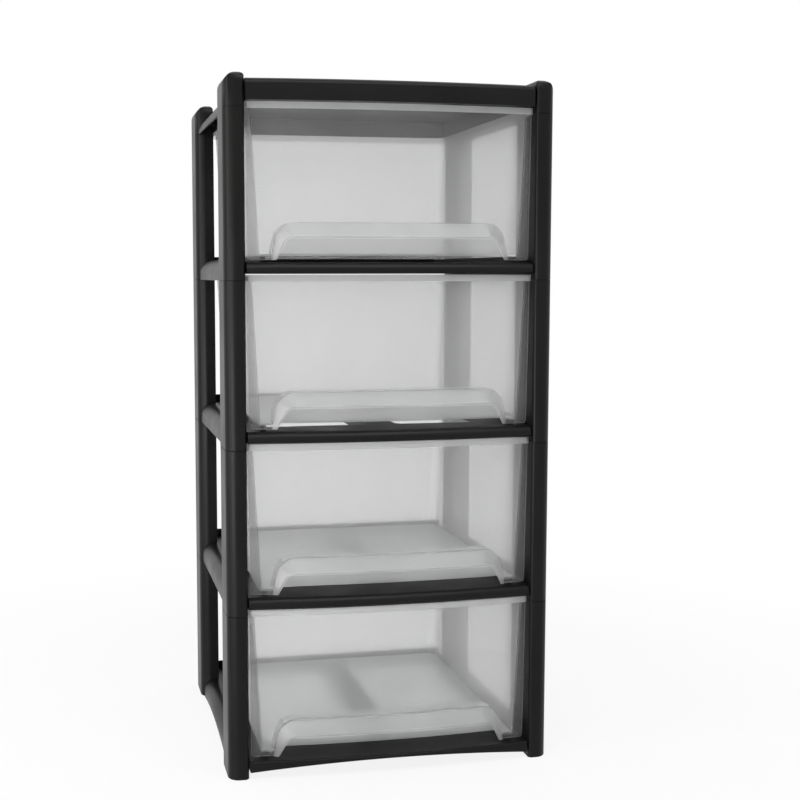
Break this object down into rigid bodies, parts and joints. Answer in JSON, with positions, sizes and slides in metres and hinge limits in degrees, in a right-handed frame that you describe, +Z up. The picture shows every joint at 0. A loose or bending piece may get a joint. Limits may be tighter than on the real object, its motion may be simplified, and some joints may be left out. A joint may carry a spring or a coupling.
{
  "type": "drawer tower",
  "caption": "Free-standing plastic storage tower: clear pull-out drawers with hooded pulls in a black frame of stacked tiers.",
  "frame": {"origin": "on the floor under the middle of the tower", "axes": "+Z up, -Y towards the drawer fronts, +X to the right seen from the front"},
  "size_m": [0.376, 0.376, 0.7835],
  "materials": {
    "black_plastic": "satin black, fine moulded grain",
    "clear_plastic": "clear with a slight haze"
  },
  "bodies": {
    "frame": {"side_frame_left_1": "black_plastic", "side_frame_right_1": "black_plastic", "shelf_1": "black_plastic", "side_frame_left_2": "black_plastic", "side_frame_right_2": "black_plastic", "shelf_2": "black_plastic", "side_frame_left_3": "black_plastic", "side_frame_right_3": "black_plastic", "shelf_3": "black_plastic", "side_frame_left_4": "black_plastic", "side_frame_right_4": "black_plastic", "shelf_4": "black_plastic", "top_rail_left": "black_plastic", "top_rail_right": "black_plastic", "top_panel": "black_plastic"},
    "drawer_1": {"drawer_1": "clear_plastic"},
    "drawer_2": {"drawer_2": "clear_plastic"},
    "drawer_3": {"drawer_3": "clear_plastic"},
    "drawer_4": {"drawer_4": "clear_plastic"}
  },
  "joints": [
    {"name": "drawer_1_slide", "type": "slide", "parent": "frame", "child": "drawer_1", "axis": [0, -1, 0], "range_m": [0, 0.25]},
    {"name": "drawer_2_slide", "type": "slide", "parent": "frame", "child": "drawer_2", "axis": [0, -1, 0], "range_m": [0, 0.25]},
    {"name": "drawer_3_slide", "type": "slide", "parent": "frame", "child": "drawer_3", "axis": [0, -1, 0], "range_m": [0, 0.25]},
    {"name": "drawer_4_slide", "type": "slide", "parent": "frame", "child": "drawer_4", "axis": [0, -1, 0], "range_m": [0, 0.25]}
  ]
}
